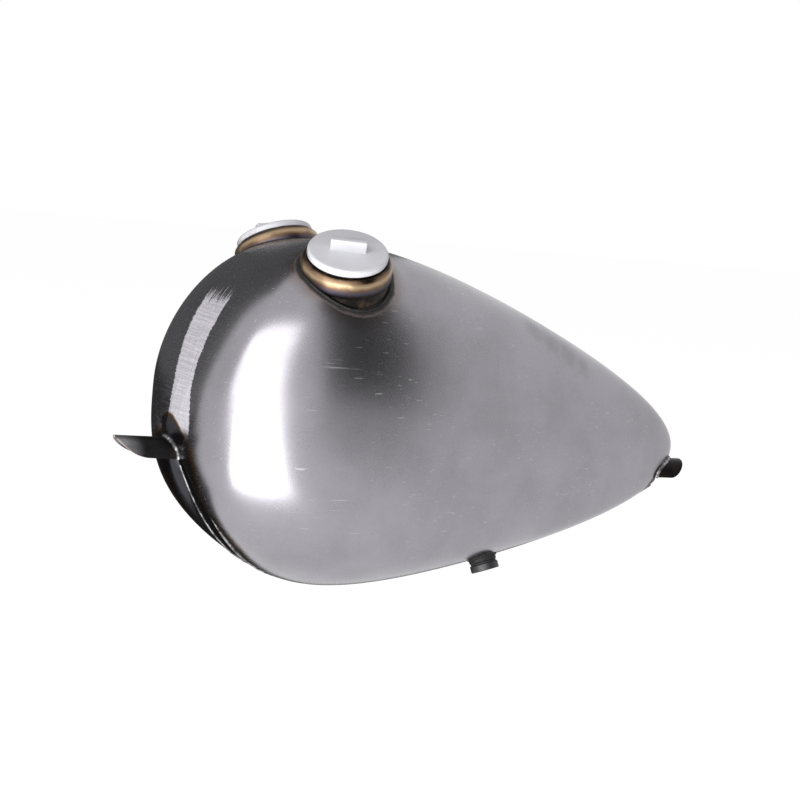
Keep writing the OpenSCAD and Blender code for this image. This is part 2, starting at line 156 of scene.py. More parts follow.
class Graph:
    """The node tree of one material or world."""

    def __init__(self, name: str, world: bool = False) -> None:
        """Starts a material with a Principled shader, or a world with a Background.

        Args:
            name: The block's name.
            world: Whether it is a world.
        """
        self.block = (bpy.data.worlds if world else bpy.data.materials).new(name)
        self.block.use_nodes = True
        self.tree = self.block.node_tree
        self.shader = self.tree.nodes["Background" if world else "Principled BSDF"]
        self.output = self.tree.nodes["World Output" if world else "Material Output"]

    def node(
        self,
        kind: str,
        settings: dict | None = None,
        inputs: "dict | Sequence | None" = None,
        output: "int | str" = 0,
    ) -> Value:
        """Makes any node.

        Args:
            kind: The node's type.
            settings: Its properties, and a ramp's stops under "stops".
            inputs: Values or links, by socket name or in order.
            output: The output to return.

        Returns:
            The chosen output.
        """
        made = self.tree.nodes.new(kind)
        settings = dict(settings or {})
        stops = settings.pop("stops", None)
        for key, value in settings.items():
            setattr(made, key, value)
        if stops:
            elements = made.color_ramp.elements
            elements[0].position, elements[1].position = stops[0][0], stops[-1][0]
            for place, _ in stops[1:-1]:
                elements.new(place)
            for element, (_, colour) in zip(elements, stops):
                element.color = (*colour, 1.0)
        pairs = inputs.items() if isinstance(inputs, dict) else enumerate(inputs or ())
        for key, value in pairs:
            self.feed(made.inputs[key], value)
        return Value(self, made.outputs[output])

    def feed(self, socket: bpy.types.NodeSocket, value: object) -> None:
        """Links or sets one socket.

        Args:
            socket: The input socket.
            value: A Value to link, or a number, colour or vector.
        """
        if isinstance(value, Value):
            self.tree.links.new(value.socket, socket)
        elif socket.type == "RGBA" and len(value) == 3:
            socket.default_value = (*value, 1.0)
        else:
            socket.default_value = value

    def mix(self, share: "Value | float", a: object, b: object) -> Value:
        """Mixes two colours.

        Args:
            share: How much of b.
            a: The first colour.
            b: The second colour.

        Returns:
            The mixed colour.
        """
        return self.node("ShaderNodeMix", {"data_type": "RGBA"}, {0: share, 6: a, 7: b}, output=2)

    def place(self) -> Value:
        """Object coordinates."""
        return self.node("ShaderNodeTexCoord", output="Object")

    def parts(self, vector: Value) -> tuple[Value, Value, Value]:
        """The three numbers of a vector."""
        first = self.node("ShaderNodeSeparateXYZ", {}, [vector])
        outputs = first.socket.node.outputs
        return tuple(Value(self, outputs[k]) for k in range(3))

    def turned(self, vector: Value, scale: Point, angles: Point = (0.0, 0.0, 0.0)) -> Value:
        """A vector turned and stretched about the origin."""
        inputs = {"Vector": vector, "Rotation": angles, "Scale": scale}
        return self.node("ShaderNodeMapping", {}, inputs)

    def noise(self, vector: Value, scale: float, detail: float = 3.0, rough: float = 0.5) -> Value:
        """Noise around 0.5.

        Args:
            vector: Where it is read.
            scale: Lumps per metre.
            detail: Octaves.
            rough: Strength of the finer octaves.

        Returns:
            The noise.
        """
        inputs = {"Vector": vector, "Scale": scale, "Detail": detail, "Roughness": rough}
        return self.node("ShaderNodeTexNoise", {}, inputs)

    def own(self, name: str) -> Value:
        """One of the piece's own attributes."""
        return self.node("ShaderNodeAttribute", {"attribute_name": name}, output="Fac")

    def away(self, vector: Value, point: Point) -> Value:
        """Distance of a vector from a fixed point."""
        return self.node("ShaderNodeVectorMath", {"operation": "DISTANCE"}, [vector, point], "Value")

    def bump(self, height: Value, depth: float, strength: float = 1.0) -> Value:
        """A Bump node's normal.

        Args:
            height: The relief, from 0 to 1.
            depth: Metres from 0 to 1.
            strength: How much of it shows.

        Returns:
            The normal.
        """
        inputs = {"Height": height, "Distance": depth, "Strength": strength}
        return self.node("ShaderNodeBump", {}, inputs)

    def finish(self, **sockets: object) -> bpy.types.Material:
        """Feeds the Principled shader.

        Args:
            sockets: Values by socket name, with underscores for spaces.

        Returns:
            The material.
        """
        for name, value in sockets.items():
            self.feed(self.shader.inputs[name.replace("_", " ")], value)
        return self.block

    def seen(self) -> Value:
        """1 on the rays that show what is behind: from the camera, mirrored or let through."""
        path = self.node("ShaderNodeLightPath", output="Is Camera Ray")
        outputs = path.socket.node.outputs
        for name in ("Is Glossy Ray", "Is Transmission Ray"):
            path = path.higher(Value(self, outputs[name]))
        return path

    def glow(self, strength: float) -> Value:
        """An even white glow."""
        return self.node("ShaderNodeEmission", {}, {"Color": WHITE, "Strength": strength})

    def surface(self, shade: Value) -> bpy.types.Material:
        """Takes a shader other than the Principled one as the surface.

        Args:
            shade: The shader.

        Returns:
            The material.
        """
        self.feed(self.output.inputs["Surface"], shade)
        return self.block


# ---------------------------------------------------------------------------- finishes


@dataclass(frozen=True)
class RawSteel:
    """Satin sheet steel with its grinding marks, stains and heat tints."""

    tone: Colour = (0.335, 0.325, 0.352)
    ground: Colour = (0.8, 0.78, 0.83)
    scored: Colour = (0.19, 0.185, 0.2)
    stain: Colour = (0.235, 0.23, 0.25)
    bright: Colour = (0.5, 0.49, 0.52)
    straw: Colour = (0.2, 0.12, 0.07)
    halo: Colour = (0.15, 0.095, 0.065)
    brown: Colour = (0.075, 0.042, 0.025)
    blue: Colour = (0.052, 0.052, 0.06)
    scale: Colour = (0.036, 0.033, 0.034)
    # Near-black of the weld soot, which round the necks is also painted shade under the rings' bulge.
    black: Colour = (0.009, 0.008, 0.008)
    scratches: tuple[tuple[Point, float, float], ...] = (
        ((0.3, 0.5, 0.2), 14.0, 0.3),
        ((1.2, -0.4, 0.9), 18.0, 4.1),
        ((-0.5, 1.1, 2.0), 16.0, 7.7),
    )
    stain_edge: float = 12 * MM
    stains: tuple[tuple[Point, float], ...] = (
        ((0.318, -0.054, 0.133), 0.016),
        ((0.335, -0.051, 0.124), 0.016),
        ((0.354, -0.05, 0.114), 0.014),
        ((0.372, -0.048, 0.103), 0.011),
    )

    def scratched(self, g: Graph, place: Value) -> Value:
        """Fine scratches in three directions, each in patches.

        Args:
            g: The material's graph.
            place: Object coordinates.

        Returns:
            The mask.
        """
        masks = []
        for turn, stretch, seed in self.scratches:
            thread = g.noise(g.turned(place, (stretch, 420.0, 420.0), turn), 1.0, 1.0).step(0.69, 0.735)
            patch = g.noise(g.turned(place, WHITE, (seed, seed, 0.0)), 22.0, 2.0).step(0.5, 0.62)
            masks.append(thread * patch)
        return reduce(Value.higher, masks)

    def stained(self, g: Graph, place: Value, wander: Value) -> Value:
        """The dull stain near the rear of the crest.

        Args:
            g: The material's graph.
            place: Object coordinates.
            wander: Noise that makes its edge uneven.

        Returns:
            The mask.
        """
        masks = []
        for point, reach in self.stains:
            spot = g.away(place, point) + (wander - 0.5) * 0.02
            masks.append(spot.step(reach + self.stain_edge / 3, reach - self.stain_edge))
        return reduce(Value.higher, masks)

    def ground_seam(self, g: Graph, place: Value, wander: Value) -> tuple[Value, Value, Value, Value]:
        """The centre seam, ground flush: a bright belt with torn edges between close scoring.

        Args:
            g: The material's graph.
            place: Object coordinates.
            wander: Noise that makes its edges uneven.

        Returns:
            The belt's mask, its streaks, the reach of the scoring and the scoring itself.
        """
        x, y, z = g.parts(place)
        ahead = x.step(0.09, 0.06)
        grain = g.noise(g.turned(place, (60.0, 420.0, 26.0)), 1.0, 4.0, 0.65)
        teeth = g.noise(g.turned(place, (40.0, 60.0, 600.0)), 1.0, 3.0, 0.6)
        shift = (teeth - 0.5) * 0.008 + (wander - 0.5) * 0.006
        near_edge = y + shift + z.step(0.09, 0.035) * 0.01 + 0.033
        far_edge = y * -1.0 + shift + z.step(0.03, 0.12) * 0.02 + 0.002
        upper = z + (grain - 0.5) * 0.05
        belt = near_edge.step(-0.0007, 0.0007) * far_edge.step(-0.002, 0.002)
        belt = belt * ahead * upper.step(0.148, 0.136) * z.step(0.02, 0.03)
        score = g.noise(g.turned(place, (22.0, 22.0, 950.0)), 1.0, 2.0).step(0.44, 0.6)
        reach = near_edge.step(-0.034, -0.004) * y.step(0.05, 0.02)
        reach = reach * ahead * z.step(0.162, 0.135) * z.step(0.0, 0.03)
        return belt, grain, reach, score

    def tinted(self, g: Graph, colour: Value, wander: Value) -> Value:
        """Heat tints from the front rim and the lower seams, and round the necks.

        Args:
            g: The material's graph.
            colour: The colour so far.
            wander: Noise that makes the tints uneven.

        Returns:
            The tinted colour.
        """
        heat = g.own("warmth") + (wander - 0.5) * 0.16
        stops = [
            (0.0, self.scale), (0.3, self.blue), (0.72, self.blue),
            (0.84, self.brown), (0.91, self.straw), (1.0, self.tone),
        ]
        tint = g.node("ShaderNodeValToRGB", {"stops": stops}, [heat])
        colour = g.mix(heat.step(1.0, 0.9), colour, tint)
        neck = g.own("neck") + (wander - 0.5) * 0.004
        return g.mix(neck.step(0.017, 0.002) * 0.55, colour, self.halo)

    def sooted(self, g: Graph, wander: Value) -> Value:
        """Soot against the neck and bung welds; round the necks the same black also paints the shade under
        the rings' bulge.

        Args:
            g: The material's graph.
            wander: Noise that makes its edge uneven.

        Returns:
            The mask.
        """
        # Round the neck welds the band is soot and painted shade; round the bung, soot.
        neck = g.own("neck") + (wander - 0.5) * 0.004
        bung = g.own("bung") + (wander - 0.5) * 0.002
        return neck.step(0.0052, 0.0022).higher(bung.step(0.004, 0.0015))

    def build(self) -> bpy.types.Material:
        """Makes the material.

        Returns:
            The material, which reads the shells' warmth, neck and bung attributes.
        """
        g = Graph("raw_satin_steel")
        place = g.place()
        cloud = g.noise(place, 18.0, 4.0, 0.6)
        fine = g.noise(place, 900.0, 2.0)
        wander = g.noise(place, 120.0, 4.0, 0.65)
        speck = g.noise(place, 260.0, 2.0).step(0.72, 0.76) * g.noise(place, 14.0, 2.0).step(0.46, 0.6)
        lines = self.scratched(g, place)
        dull = self.stained(g, place, wander)
        belt, grain, reach, score = self.ground_seam(g, place, wander)
        soot = self.sooted(g, wander)
        colour = g.mix(cloud.step(0.3, 0.75) * 0.3, self.tone, self.scored)
        colour = g.mix(lines * 0.4, colour, self.bright)
        colour = g.mix(speck * 0.6, colour, self.scored)
        colour = g.mix(dull * 0.3, colour, self.stain)
        colour = g.mix(reach * (score * 0.65 + 0.25), colour, self.scored)
        colour = g.mix(belt * (grain * 0.9 + 0.35).clamped(), colour, self.ground)
        # Near-black soot, and round the necks painted shade as well.
        colour = g.mix(soot * 0.96, self.tinted(g, colour, wander), self.black)
        rough = 0.2 + cloud * 0.09 + fine * 0.04 + lines * 0.12 + dull * 0.15
        rough = (rough + reach * score * 0.1 + belt * 0.3 + soot * 0.35).clamped()
        relief = fine * 0.25 - lines * 0.5 - reach * score * 0.5 + belt * grain * 0.6
        relief = relief + g.noise(place, 60.0, 2.0) * 0.5
        return g.finish(
            Base_Color=colour, Metallic=1.0 - soot * 0.7, Roughness=rough,
            Normal=g.bump(relief, 0.00004, 0.6),
        )


@dataclass(frozen=True)
class DarkPlate:
    """Rolled plate of the tunnel and the saddle tabs, near-black with painted shade everywhere but towards
    the front tab's tip, with brown mottling in the black.
    """

    tone: Colour = (0.27, 0.265, 0.28)
    # Near-black painted shade.
    deep: Colour = (0.012, 0.0115, 0.012)
    brown: Colour = (0.035, 0.024, 0.018)

    def build(self) -> bpy.types.Material:
        """Makes the material."""
        g = Graph("dark_rolled_plate")
        place = g.place()
        cloud = g.noise(place, 45.0, 4.0, 0.65)
        fine = g.noise(g.turned(place, (60.0, 700.0, 700.0)), 1.0, 2.0)
        # Painted shade: near-black from 22 mm ahead of the origin rearwards, over the tunnel, the rear tab
        # and the front tab's root, fading to the plate's grey by the front tab's tip.
        length = g.parts(place)[0] + (cloud - 0.5) * 0.014
        front = length.step(-0.046, -0.022)
        colour = g.mix((front * 0.97 + 0.03).clamped(), self.tone, self.deep)
        colour = g.mix(cloud.step(0.52, 0.66) * front * 0.4, colour, self.brown)
        rough = 0.3 + cloud * 0.15 + fine * 0.08
        return g.finish(
            Base_Color=colour, Metallic=0.95, Roughness=rough, Normal=g.bump(fine, 0.00005, 0.5)
        )


@dataclass(frozen=True)
class TintedSteel:
    """Pressed steel of the necks, tinted bronze and blue, with a painted gold highlight on the bulge's
    upper shoulder, painted shade just under the plug's head, and black towards its weld from soot and
    painted shade.
    """

    bronze: Colour = (0.13, 0.083, 0.052)
    # Painted highlight, laid as a band round the bulge's upper shoulder.
    gold: Colour = (0.4, 0.29, 0.18)
    blue: Colour = (0.06, 0.055, 0.08)
    # Painted shade just under the plug's head; at the ring's foot, soot with painted shade.
    black: Colour = (0.014, 0.012, 0.012)
    spread: float = 18 * MM

    def build(self) -> bpy.types.Material:
        """Makes the material, which reads the ring's drop attribute, in metres below its face."""
        g = Graph("heat_tinted_steel")
        place = g.place()
        cloud = g.noise(place, 70.0, 4.0, 0.65)
        drop = g.own("drop") + (cloud - 0.5) * 0.005
        # Down from the face: painted shade under the plug's head, bronze, a painted gold highlight on the
        # bulge's shoulder, bronze, blue, then soot and painted shade at the foot.
        stops = [
            (0.0, self.black), (0.1, self.bronze), (0.3, self.gold),
            (0.5, self.bronze), (0.68, self.blue), (0.85, self.black),
        ]
        ramp = g.node("ShaderNodeValToRGB", {"stops": stops}, [drop * (1 / self.spread)])
        colour = g.mix(cloud.step(0.5, 0.7) * 0.45, ramp, self.bronze)
        line = g.noise(g.turned(place, (30.0, 30.0, 900.0)), 1.0, 2.0)
        return g.finish(
            Base_Color=colour, Metallic=1.0, Roughness=0.2 + cloud * 0.16 + line * 0.06,
            Normal=g.bump(line, 0.00004, 0.4),
        )


@dataclass(frozen=True)
class WeldMetal:
    """Lumpy weld metal, half shiny and half scaled."""

    name: str = "weld_metal"
    bright: Colour = (0.3, 0.3, 0.31)
    scale: Colour = (0.04, 0.037, 0.038)
    rust: Colour = (0.16, 0.1, 0.05)
    shine: float = 0.8

    def build(self) -> bpy.types.Material:
        """Makes the material."""
        g = Graph(self.name)
        place = g.place()
        lump = g.noise(place, 380.0, 4.0, 0.6)
        cloud = g.noise(place, 110.0, 3.0, 0.6)
        colour = g.mix(cloud.step(0.4, 0.62), self.bright, self.scale)
        colour = g.mix(lump.step(0.58, 0.7) * 0.5, colour, self.rust)
        shiny = cloud.step(0.62, 0.45) * self.shine
        return g.finish(
            Base_Color=colour, Metallic=shiny * 0.6 + 0.35, Roughness=0.62 - shiny * 0.4,
            Normal=g.bump(lump, 0.0006, 0.8),
        )


@dataclass(frozen=True)
class Moulding:
    """A plastic or rubber moulding."""

    name: str
    tone: Colour
    rough: float
    grain: float = 0.02
    coat: float = 0.0
    metal: float = 0.0

    def build(self) -> bpy.types.Material:
        """Makes the material."""
        g = Graph(self.name)
        place = g.place()
        cloud = g.noise(place, 55.0, 3.0)
        shade = tuple(c * 0.94 for c in self.tone)
        colour = g.mix(cloud.step(0.35, 0.7) * 0.6, self.tone, shade)
        return g.finish(
            Base_Color=colour, Roughness=self.rough + (cloud - 0.5) * self.grain * 2.0,
            Coat_Weight=self.coat, Metallic=self.metal,
            Normal=g.bump(g.noise(place, 500.0, 2.0), 0.00003, 0.3),
        )


# ---------------------------------------------------------------------------- mesh helpers


def turned_from(profile: Sequence[tuple[float, float]], stand: Matrix, steps: int) -> bmesh.types.BMesh:
    """Spins a profile round the Z axis and stands it in place.

    Args:
        profile: Radius and height of each corner, in metres.
        stand: The frame whose Z axis it turns round.
        steps: How many steps a full turn takes.

    Returns:
        The closed mesh.
    """
    bm = bmesh.new()
    corners = [bm.verts.new((r, 0.0, h)) for r, h in profile]
    edges = [bm.edges.new(pair) for pair in zip(corners, corners[1:])]
    ring = {"angle": math.tau, "steps": steps, "axis": (0, 0, 1), "cent": (0, 0, 0)}
    bmesh.ops.spin(bm, geom=corners + edges, use_merge=True, use_duplicate=False, **ring)
    bmesh.ops.remove_doubles(bm, verts=bm.verts, dist=1e-6)
    bmesh.ops.recalc_face_normals(bm, faces=bm.faces)
    bmesh.ops.transform(bm, matrix=stand, verts=bm.verts)
    if stand.determinant() < 0:
        bmesh.ops.reverse_faces(bm, faces=bm.faces)
    return bm


def arc(
    cx: float, cz: float, r: float, start: float, stop: float, steps: int
) -> list[tuple[float, float]]:
    """Corners along an arc of a profile.

    Args:
        cx: Centre's radius.
        cz: Centre's height.
        r: The arc's own radius.
        start: First angle, in degrees.
        stop: Last angle, in degrees.
        steps: How many steps.

    Returns:
        The corners.
    """
    angles = [math.radians(start + (stop - start) * k / steps) for k in range(steps + 1)]
    return [(cx + r * math.cos(a), cz + r * math.sin(a)) for a in angles]


def block(size: Point, centre: Point, corner: float, edge: float) -> bmesh.types.BMesh:
    """A box with rounded upright corners and softened upper edges.

    Args:
        size: Its three lengths.
        centre: Its middle.
        corner: Radius of the upright corners.
        edge: Radius of the upper edges.

    Returns:
        The mesh.
    """
    bm = bmesh.new()
    bmesh.ops.create_cube(bm, size=1.0)
    bmesh.ops.scale(bm, vec=size, verts=bm.verts)
    upright = [e for e in bm.edges if abs(e.verts[0].co.z - e.verts[1].co.z) > size[2] * 0.5]
    rounded = {"affect": "EDGES", "profile": 0.5, "material": -1, "clamp_overlap": True}
    bmesh.ops.bevel(bm, geom=upright, offset=corner, segments=6, **rounded)
    top = [e for e in bm.edges if min(v.co.z for v in e.verts) > size[2] * 0.49 and len(e.link_faces) == 2
           and any(abs(f.normal.z) < 0.5 for f in e.link_faces)]
    bmesh.ops.bevel(bm, geom=top, offset=edge, segments=3, **rounded)
    bmesh.ops.translate(bm, vec=centre, verts=bm.verts)
    return bm


def absorb(host: bmesh.types.BMesh, guest: bmesh.types.BMesh) -> None:
    """Moves one mesh's shapes into another.

    Args:
        host: The mesh that takes them.
        guest: The mesh that is freed.
    """
    held = bpy.data.meshes.new("guest")
    guest.to_mesh(held)
    guest.free()
    host.from_mesh(held)
    bpy.data.meshes.remove(held)


def settle(bm: bmesh.types.BMesh, name: str, sharp: float = 35.0) -> bpy.types.Object:
    """Makes a smooth-shaded object of a mesh, with its hard edges marked.

    Args:
        bm: The mesh, which is freed.
        name: The object's name.
        sharp: Edges that bend by more than this many degrees stay hard.

    Returns:
        The linked object.
    """
    limit = math.radians(sharp)
    for face in bm.faces:
        face.smooth = True
    for edge in bm.edges:
        if len(edge.link_faces) != 2 or edge.calc_face_angle(0.0) > limit:
            edge.smooth = False
    mesh = bpy.data.meshes.new(name)
    bm.to_mesh(mesh)
    bm.free()
    made = bpy.data.objects.new(name, mesh)
    bpy.context.scene.collection.objects.link(made)
    return made


def thicken(made: bpy.types.Object, thickness: float) -> bpy.types.Modifier:
    """Gives a sheet its wall, inwards.

    Args:
        made: The sheet.
        thickness: The wall.

    Returns:
        The modifier.
    """
    wall = made.modifiers.new("wall", "SOLIDIFY")
    wall.thickness = thickness
    wall.offset = -1.0
    return wall


@dataclass(frozen=True)
class Ripple:
    """The radius of a weld bead along its length."""

    dice: random.Random
    size: float
    base: float
    swing: float
    rate: float
    jitter: float
    phase: float = 0.0

    def __call__(self, share: float) -> float:
        """The radius in metres at a share of the length."""
        wave = self.swing * abs(math.sin(share * self.rate + self.phase))
        return self.size * (self.base + wave + self.dice.uniform(-self.jitter, self.jitter))


def bead_object(
    name: str, path: Sequence[Vector], radius: Ripple, closed: bool, sides: int = 5
) -> bpy.types.Object:
    """Lays a lumpy bead along a path.

    Args:
        name: The object's name.
        path: The bead's centre line.
        radius: The bead's radius in metres at a share of its length.
        closed: Whether the path comes back to its start.
        sides: Bevel resolution.

    Returns:
        The bead as a mesh object.
    """
    curve = bpy.data.curves.new(name, "CURVE")
    curve.dimensions = "3D"
    curve.bevel_depth = 1.0
    curve.bevel_resolution = sides
    curve.use_fill_caps = not closed
    line = curve.splines.new("POLY")
    line.points.add(len(path) - 1)
    line.use_cyclic_u = closed
    for k, (point, spot) in enumerate(zip(line.points, path)):
        point.co = (*spot, 1.0)
        point.radius = radius(k / len(path))
    scratch = bpy.data.objects.new(name + "_line", curve)
    bpy.context.scene.collection.objects.link(scratch)
    bpy.context.view_layer.update()
    graph = bpy.context.evaluated_depsgraph_get()
    mesh = bpy.data.meshes.new_from_object(scratch.evaluated_get(graph))
    bpy.data.objects.remove(scratch)
    bpy.data.curves.remove(curve)
    bm = bmesh.new()
    bm.from_mesh(mesh)
    bpy.data.meshes.remove(mesh)
    bmesh.ops.remove_doubles(bm, verts=bm.verts, dist=1e-6)
    bmesh.ops.recalc_face_normals(bm, faces=bm.faces)
    return settle(bm, name, 60.0)


def framed(x: Vector, y: Vector, z: Vector, spot: Vector) -> Matrix:
    """The matrix of a frame from its three directions and its origin."""
    return Matrix((
        (x.x, y.x, z.x, spot.x), (x.y, y.y, z.y, spot.y), (x.z, y.z, z.z, spot.z), (0, 0, 0, 1),
    ))


# ---------------------------------------------------------------------------- the tank's skin


@dataclass
class Skin:
    """The tank's right half as a surface carried by three curves of six handles each."""

    length: float = 496 * MM
    crest: float = 196 * MM
    belly: float = 104 * MM
    half_width: float = 122.5 * MM
    squareness: float = 2.9
    tunnel_r: float = 16.5 * MM
    front_rake: float = 8 * MM
    rear_rake: float = 19 * MM
    seam_lead: float = 9 * MM
    seam_tail: float = 3 * MM
    top: list[Vector] = field(init=False)
    flank: list[Vector] = field(init=False)
    under: list[Vector] = field(init=False)

    def __post_init__(self) -> None:
        """Scales the three curves to the tank's own sizes."""
        rise = (0, 0.071, 1, 0.452, 0.256, 0)
        reach = (0, 0.299, 1, 0.521, 0.203, 0)
        lift = (0, 0.478, 0.322, 0.154, 0.084, 0)
        drop = (0.012, 1, 0.498, 0.414, 0.186, 0.031)
        size, tunnel = self.length, self.tunnel_r
        top_run = (0, -0.013, 0.106, 0.244, 1.072, 1)
        flank_run = (self.front_rake / size, -0.007, -0.015, 0.368, 0.861, 1 - self.rear_rake / size)
        under_run = (
            (self.front_rake + self.seam_lead) / size, 0.192, 0.305, 0.703, 0.88,
            1 - (self.rear_rake + self.seam_tail) / size,
        )
        high = (self.crest - tunnel) / self.peak(rise)
        wide = (self.half_width - tunnel) / self.peak(reach)
        deep = self.belly / self.peak(drop)
        self.top = [Vector((size * a, 0, tunnel + high * b)) for a, b in zip(top_run, rise)]
        self.flank = [
            Vector((size * a, tunnel + wide * b, self.crest * c)) for a, b, c in zip(flank_run, reach, lift)
        ]
        self.under = [Vector((size * a, tunnel, -deep * b)) for a, b in zip(under_run, drop)]

    @staticmethod
    def bezier(handles: Sequence, t: float) -> "Vector | float":
        """A point of a curve.

        Args:
            handles: Numbers or vectors.
            t: Share of the way along.

        Returns:
            The number or vector there.
        """
        row = list(handles)
        while len(row) > 1:
            row = [a + (b - a) * t for a, b in zip(row, row[1:])]
        return row[0]

    @classmethod
    def peak(cls, handles: Sequence[float]) -> float:
        """The highest value that a curve of numbers comes to."""
        return max(cls.bezier(handles, k / 80) for k in range(81))

    def point(self, u: float, v: float) -> Vector:
        """A point of the right half.

        Args:
            u: Share of the way from the front rim to the rear rim.
            v: Share of the way from the crest over the widest line to the lower seam.

        Returns:
            The point.
        """
        wide = self.bezier(self.flank, u)
        edge = self.bezier(self.top if v <= 0.5 else self.under, u)
        c = math.cos(math.pi * v)
        bend = 2 / (2 + (self.squareness - 2) * (1 - (2 * u - 1) ** 4))
        out = abs(math.sin(math.pi * v)) ** bend
        up = abs(c) ** bend
        return Vector((
            wide.x + (edge.x - wide.x) * c * c,
            edge.y + (wide.y - edge.y) * out,
            wide.z + (edge.z - wide.z) * up,
        ))

    def meet(
        self, origin: Vector, a: Vector, b: Vector, goal: tuple[float, float], guess: tuple[float, float]
    ) -> Vector:
        """Where a line square to a and b meets the skin.

        Args:
            origin: Centre of the plane of a and b.
            a: First direction.
            b: Second direction.
            goal: The line's place along a and b.
            guess: First guess of u and v.

        Returns:
            The point on the skin.
        """
        u, v = guess
        step = 0.001
        for _ in range(12):
            here = self.point(u, v) - origin
            by_u = (self.point(u + step, v) - self.point(u, v)) / step
            by_v = (self.point(u, v + step) - self.point(u, v)) / step
            e0, e1 = goal[0] - here.dot(a), goal[1] - here.dot(b)
            au, av, bu, bv = by_u.dot(a), by_v.dot(a), by_u.dot(b), by_v.dot(b)
            det = au * bv - av * bu
            u += (e0 * bv - av * e1) / det
            v += (au * e1 - e0 * bu) / det
        return self.point(u, v)


@dataclass
class Seat:
    """A frame that stands on the skin: where a neck or the bung is welded on."""

    centre: Vector
    across: Vector
    beside: Vector
    axis: Vector
    guess: tuple[float, float]

    def matrix(self, side: Side, lift: float = 0.0) -> Matrix:
        """The frame on one side of the tank.

        Args:
            side: Which side.
            lift: How far along the axis it stands.

        Returns:
            The matrix, which mirrors on the left.
        """
        spot = self.centre + self.axis * lift
        return Matrix.Diagonal((1, side.value, 1, 1)) @ framed(self.across, self.beside, self.axis, spot)

    def radius(self, point: Vector) -> float:
        """How far a point of the right half lies from the axis."""
        away = point - self.centre
        return (away - self.axis * away.dot(self.axis)).length

    def saddle(self, skin: Skin, r: float, steps: int) -> list[Vector]:
        """The line where a cylinder round the axis comes out of the skin.

        Args:
            skin: The tank's skin.
            r: The cylinder's radius.
            steps: How many points.

        Returns:
            The points, on the right half.
        """
        turns = [math.tau * k / steps for k in range(steps)]
        goals = [(r * math.cos(a), r * math.sin(a)) for a in turns]
        return [skin.meet(self.centre, self.across, self.beside, goal, self.guess) for goal in goals]


def neck_seat() -> Seat:
    """The seat of the right filler neck."""
    splay, lean = math.radians(27), math.radians(10)
    across = Vector((math.cos(lean), 0, math.sin(lean)))
    axis = Vector((-math.cos(splay) * math.sin(lean), math.sin(splay), math.cos(splay) * math.cos(lean)))
    return Seat(Vector((118, 81.5, 178.29)) * MM, across, axis.cross(across), axis, (0.4558, 0.1871))


def bung_seat() -> Seat:
    """The seat of the petcock bung, as drawn on the right."""
    axis = Vector((0.266366, 0.285264, -0.920692)).normalized()
    across = Vector((0, 1, 0)).cross(axis).normalized()
    return Seat(Vector((288, 51, -72.908)) * MM, across, axis.cross(across), axis, (0.5665, 0.9278))


class Assembly:
    """What the sub-assemblies share."""

    def __init__(self, finishes: dict[Slot, bpy.types.Material]) -> None:
        """Keeps the finishes.

        Args:
            finishes: The material of each slot.
        """
        self.finishes = finishes

    def hand_over(self, made: bpy.types.Object, node: str, body: str, slot: Slot) -> bpy.types.Object:
        """Dresses a piece and puts it in place of its CAD node.

        Args:
            made: The piece.
            node: The CAD node it stands for.
            body: The body it moves with.
            slot: Its material slot.

        Returns:
            The piece.
        """
        made.data.materials.clear()
        made.data.materials.append(self.finishes[slot])
        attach(made, body)
        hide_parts(node)
        LOG.info("%s: %d faces on %s", node, len(made.data.polygons), body)
        return made

    def dress(self, node: str, slot: Slot) -> None:
        """Gives a CAD node its finish as it is.

        Args:
            node: The node.
            slot: Its material slot.
        """
        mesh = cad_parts[node].data
        mesh.materials.clear()
        mesh.materials.append(self.finishes[slot])
        LOG.info("%s: dressed", node)


